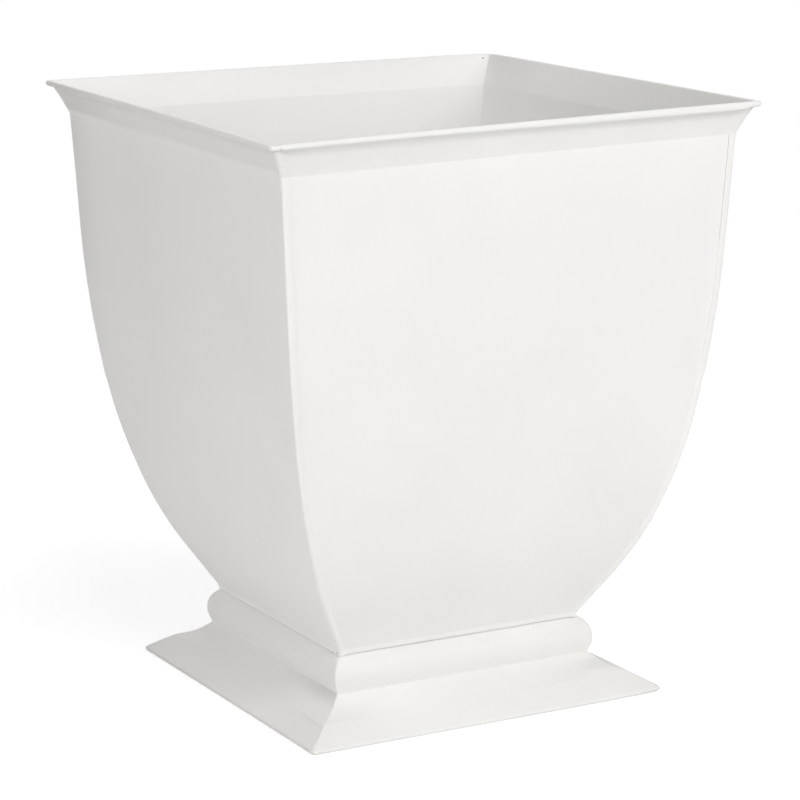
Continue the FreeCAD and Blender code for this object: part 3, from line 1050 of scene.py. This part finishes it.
def crown_corner_welds():
    """A lumpy ridge up the outside of each mitre of the flare, begun a little below it on the bowl."""
    outward = Vector((1, 1, 0)).normalized()
    builder = Builder()
    for turn in SIDE_TURNS.values():
        path = ridge_path(turn)
        stations = []
        for index, (spot, radius, wide, thick) in enumerate(path):
            travel = (path[min(index + 1, len(path) - 1)][0] - path[max(index - 1, 0)][0]).normalized()
            across = travel.cross(outward).normalized()
            apex = spot - outward * (0.414 * radius)
            share = index / (len(path) - 1)
            ends = min(share / 0.08, (1 - share) / 0.04, 1.0)
            blunt = 1.2 * MM + 0.6 * radius
            ring = []
            for side in range(18):
                angle = 2 * math.pi * side / 18
                offset = wide * math.cos(angle) * (0.5 + 0.5 * ends)
                offset += lumps(Vector((turn, angle, spot.z / (5 * MM))), 1.0, 0.12) * wide
                inward = math.hypot(1.08 * offset, blunt) - blunt
                rise = math.sin(angle)
                layer = (thick * ends * (1 + lumps(spot, 3 * MM, 0.5)) if rise > 0 else 0.6 * MM) * rise
                place = apex + across * offset + outward * (layer - inward)
                ring.append(hand_made(turned(place, turn)))
            stations.append([ring])
        builder.sweep(stations)
    add_piece(builder, "crown_corner_welds", "_laid", sharp=60)


def ring_welds(node, outline, radius, count, shape, sharp):
    """One section laid round all four sides of a square, with the same radius at each corner."""
    shares = even_shares(count)
    builder = Builder()
    for turn in SIDE_TURNS.values():
        builder.sweep(ring_stations([outline], lambda spot: [radius, radius], shares, turn, shape))
    add_piece(builder, node, "_laid", sharp=sharp)


def crown_seam_welds():
    """A low, smooth bead round the inside of the joint between crown and bowl."""
    joint = Vector((inner_half(BOWL_TOP_Z), BOWL_TOP_Z))
    below = Vector((inner_half(BOWL_TOP_Z - SEAM_REACH), BOWL_TOP_Z - SEAM_REACH))
    control = joint + (joint - below).normalized() * (0.72 * SEAM_REACH)
    outline = [joint + Vector((0.5 * MM, -0.5 * SEAM_REACH))]
    outline += bezier(below, control, joint + flare_foot_up * SEAM_REACH, 12)
    outline.append(joint + flare_foot_up * (0.6 * SEAM_REACH) + Vector((0.5 * MM, 0)))
    ring_welds("crown_seam_welds", outline, 0.8 * MM, 60, hand_made, 60)


def bowl_corner_welds():
    """A rippled fillet down the inside of each corner of the bowl."""
    low = FLOOR_TOP_Z + 2 * MM
    builder = Builder()
    for turn in SIDE_TURNS.values():
        stations = []
        for step in range(181):
            height = low + (BOWL_TOP_Z - low) * step / 180
            size = CORNER_FILLET * (1 + 0.12 * noise.noise(Vector((turn, 0.5, height / (6 * MM)))))
            behind = inner_half(height) + 0.3 * MM
            middle = inner_half(height) + 0.05 * MM - size
            ring = [(behind, behind)]
            for share in even_shares(6):
                angle = math.radians(90 * share)
                ring.append((middle + size * math.sin(angle), middle + size * math.cos(angle)))
            stations.append([placed(ring, height, pressed, turn)])
        builder.sweep(stations)
    add_piece(builder, "bowl_corner_welds", "_laid", sharp=50)


def floor_seam_welds():
    """A fillet round the edge of the bowl's floor."""
    inner = inner_half(FLOOR_TOP_Z)
    behind, below = inner + 0.5 * MM, FLOOR_TOP_Z - 0.1 * MM
    centre = Vector((inner - FLOOR_FILLET, FLOOR_TOP_Z + FLOOR_FILLET))
    outline = [Vector((behind, below)), Vector((centre.x, below))]
    outline += [centre + on_circle(FLOOR_FILLET, math.radians(-90 + 15 * step)) for step in range(7)]
    outline.append(Vector((behind, centre.y)))
    ring_welds("floor_seam_welds", outline, 1.5 * MM, 50, pressed, 50)


def foot_corner_welds():
    """A short lumpy bead under each mitre of the skirt."""
    inward = left_of((foot_base - foot_arris).normalized()) * -FOOT_SHEET
    first, last = [foot_arris.lerp(foot_base, share) + inward for share in (0.19, 0.5)]
    builder = Builder()
    for turn in SIDE_TURNS.values():
        start, end = [turned(Vector((spot.x, spot.x, spot.y)), turn) for spot in (first, last)]
        travel = (end - start).normalized()
        across = travel.cross(Vector((0.3, 0.2, 1))).normalized()
        over = travel.cross(across)
        stations = []
        for share in even_shares(24):
            spot = start.lerp(end, share)
            closing = min(share / 0.08, (1 - share) / 0.08, 1.0)
            radius = (FOOT_WELD_RADIUS + lumps(spot, 3 * MM, 0.35 * MM)) * (0.4 + 0.6 * closing)
            ring = [across * arm.x + over * arm.y for arm in circle_points(Vector((0, 0)), radius, 12)]
            stations.append([[hand_made(spot + arm) for arm in ring]])
        builder.sweep(stations)
    add_piece(builder, "foot_corner_welds", "_laid", sharp=60)


crown_corner_welds()
crown_seam_welds()
bowl_corner_welds()
floor_seam_welds()
foot_corner_welds()


# Plates and fasteners

def square_points(half, steps):
    """Outline of a square, with points along its sides."""
    side = [(half, -half + 2 * half * step / steps) for step in range(steps)]
    return [spot.xy for turn in SIDE_TURNS.values() for spot in placed(side, 0, Vector.copy, turn)]


def broken_levels(low, high, edge):
    """Heights up a plate, and how far its edges are broken there."""
    return [(low, edge), (low + edge, 0), (high - edge, 0), (high, edge)]


def plate(name, shape):
    """Square plate with the drain hole and the bolt holes, their edges broken."""
    low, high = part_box(name)
    stations = []
    for height, broken in broken_levels(low.z, high.z, 0.25 * MM):
        outlines = [square_points(high.x - broken, 12)]
        outlines.append(circle_points(Vector((0, 0)), DRAIN_RADIUS + broken, 48))
        outlines += [circle_points(place, BOLT_HOLE_RADIUS + broken, 20) for place in BOLT_PLACES]
        stations.append([placed(outline, height, shape) for outline in outlines])
    builder = Builder()
    builder.sweep(stations)
    add_piece(builder, name, "_cut", sharp=30)


def hexagon_radius(angle):
    return NUT_WIDTH / 2 / math.cos((angle + math.pi / 6) % (math.pi / 3) - math.pi / 6)


def hexagon_body(builder, place, low, high, turned_ends, hole=0.0):
    """Hexagonal prism, solid or bored, with a turned chamfer at the ends that are named."""
    flat = CHAMFER_SHARE * NUT_WIDTH / 2
    stations = []
    for end, inset in (("low", True), ("low", False), ("high", False), ("high", True)):
        height, way = (low, 1) if end == "low" else (high, -1)
        ring = []
        for step in range(72):
            angle = 2 * math.pi * step / 72
            radius = hexagon_radius(angle)
            level = height
            if end in turned_ends and inset:
                radius = min(radius, flat)
            elif end in turned_ends:
                level += way * max(radius - flat, 0) * math.tan(CHAMFER_LEAN)
            ring += placed([place + on_circle(radius, angle)], level, hand_made)
        bore = [placed(circle_points(place, hole, 72), height, hand_made)] if hole else []
        stations.append([ring] + bore)
    builder.sweep(stations)


def threaded_shank(builder, place, low, high, thread_top):
    """Bolt shank with a helical thread on its lower part."""
    steps = int((thread_top - low) / (THREAD_PITCH / 6))
    heights = [low + (thread_top - low) * step / steps for step in range(steps + 1)]
    stations = []
    for height in heights + [thread_top + 0.2 * MM, high]:
        ring = []
        for step in range(24):
            phase = ((height - low) / THREAD_PITCH - step / 24) % 1.0
            depth = THREAD_DEPTH * abs(2 * phase - 1) if height <= thread_top else 0.0
            lead = 0.4 * MM * (1 - min((height - low) / (1.2 * MM), 1.0))
            ring.append(place + on_circle(BOLT_RADIUS - depth - lead, 2 * math.pi * step / 24))
        stations.append([placed(ring, height, hand_made)])
    builder.sweep(stations)


def fasteners():
    bolt_low, bolt_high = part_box("joint_bolts")
    nut_low, nut_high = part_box("joint_nuts")
    washer_low, washer_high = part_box("joint_washers")
    bolts, nuts, washers = Builder(), Builder(), Builder()
    for place in BOLT_PLACES:
        hexagon_body(bolts, place, washer_high.z, bolt_high.z, ("high",))
        threaded_shank(bolts, place, bolt_low.z, washer_high.z + 0.1 * MM, nut_high.z + 1.5 * MM)
        hexagon_body(nuts, place, nut_low.z, nut_high.z, ("low", "high"), BOLT_RADIUS)
        for base in (washer_low.z, washer_high.z - WASHER_SHEET):
            stations = []
            for height, broken in broken_levels(base, base + WASHER_SHEET, 0.15 * MM):
                radii = (WASHER_RADIUS - broken, BOLT_HOLE_RADIUS + broken)
                rings = [circle_points(place, radius, 40) for radius in radii]
                stations.append([placed(ring, height, hand_made) for ring in rings])
            washers.sweep(stations)
    add_piece(bolts, "joint_bolts", "_threaded", ZINC, 25)
    add_piece(nuts, "joint_nuts", "_chamfered", ZINC, 25)
    add_piece(washers, "joint_washers", "_pressed", ZINC, 25)


plate("bowl_floor", pressed)
plate("foot_deck", hand_made)
fasteners()


# Studio

def add_softbox(name, azimuth, elevation, power):
    data = bpy.data.lights.new(name, "AREA")
    data.shape = "RECTANGLE"
    data.size = LAMP_SIZE
    data.size_y = LAMP_SIZE
    data.energy = power
    around, above = math.radians(azimuth), math.radians(elevation)
    way = Vector((math.cos(above) * math.sin(around), -math.cos(above) * math.cos(around), math.sin(above)))
    lamp = bpy.data.objects.new(name, data)
    lamp.location = LAMP_TARGET + way * LAMP_DISTANCE
    lamp.rotation_euler = (-way).to_track_quat("-Z", "Y").to_euler()
    bpy.context.scene.collection.objects.link(lamp)


def seen_rays(tree):
    """1 for the rays that see the backdrop: from the camera, or by way of a shiny or clear surface."""
    rays = tree.nodes.new("ShaderNodeLightPath").outputs
    mirrored = combined(tree, "MAXIMUM", rays["Is Glossy Ray"], rays["Is Transmission Ray"])
    return combined(tree, "MAXIMUM", rays["Is Camera Ray"], mirrored)


def white_floor():
    """Round floor that holds the object's shadow and turns into the white backdrop further out."""
    mesh = bpy.data.meshes.new("studio_floor")
    rim = circle_points(Vector((0, 0)), FLOOR_RADIUS, 72)
    mesh.from_pydata([(x, y, 0) for x, y in rim], [], [range(72)])
    floor = bpy.data.objects.new("studio_floor", mesh)
    floor.location.z = -0.05 * MM
    bpy.context.scene.collection.objects.link(floor)
    material, tree, shader = node_material("studio_floor")
    shader.inputs["Base Color"].default_value = (0.92, 0.92, 0.92, 1)
    shader.inputs["Roughness"].default_value = 0.9
    shader.inputs["Specular IOR Level"].default_value = 0.1
    shader.inputs["Emission Color"].default_value = (1, 1, 1, 1)
    from_middle = distance_to(tree, object_place(tree), (0, 0, 0))
    glow = mapped(tree, from_middle, GLOW_START, 0.95 * FLOOR_RADIUS, FLOOR_GLOW, 1.0, "SMOOTHSTEP")
    tree.links.new(combined(tree, "MULTIPLY", seen_rays(tree), glow), shader.inputs["Emission Strength"])
    mesh.materials.append(material)


def studio_world():
    world = bpy.data.worlds.new("studio")
    bpy.context.scene.world = world
    world.use_nodes = True
    tree = world.node_tree
    background = tree.nodes["Background"]
    strength = mapped(tree, seen_rays(tree), 0.0, 1.0, WORLD_LEVEL, 1.0)
    tree.links.new(strength, background.inputs["Strength"])
    background.inputs["Color"].default_value = (1, 1, 1, 1)


studio_world()
white_floor()
for lamp_name, (lamp_azimuth, lamp_elevation, lamp_power) in LAMPS.items():
    add_softbox(lamp_name, lamp_azimuth, lamp_elevation, lamp_power)


# Camera

def add_camera():
    data = bpy.data.cameras.new("camera")
    data.lens = CAMERA_LENS
    data.sensor_width = 36
    data.clip_end = 100
    camera = bpy.data.objects.new("camera", data)
    camera.matrix_world = (
        Matrix.Translation((0, 0, CAMERA_TARGET_Z))
        @ Matrix.Rotation(CAMERA_AZIMUTH, 4, "Z")
        @ Matrix.Translation((CAMERA_TARGET_RIGHT, 0, 0))
        @ Matrix.Rotation(math.pi / 2 - CAMERA_ELEVATION, 4, "X")
        @ Matrix.Rotation(CAMERA_ROLL, 4, "Z")
        @ Matrix.Translation((0, 0, CAMERA_DISTANCE))
    )
    bpy.context.scene.collection.objects.link(camera)
    bpy.context.scene.camera = camera


add_camera()
bpy.context.scene.view_settings.view_transform = "Standard"
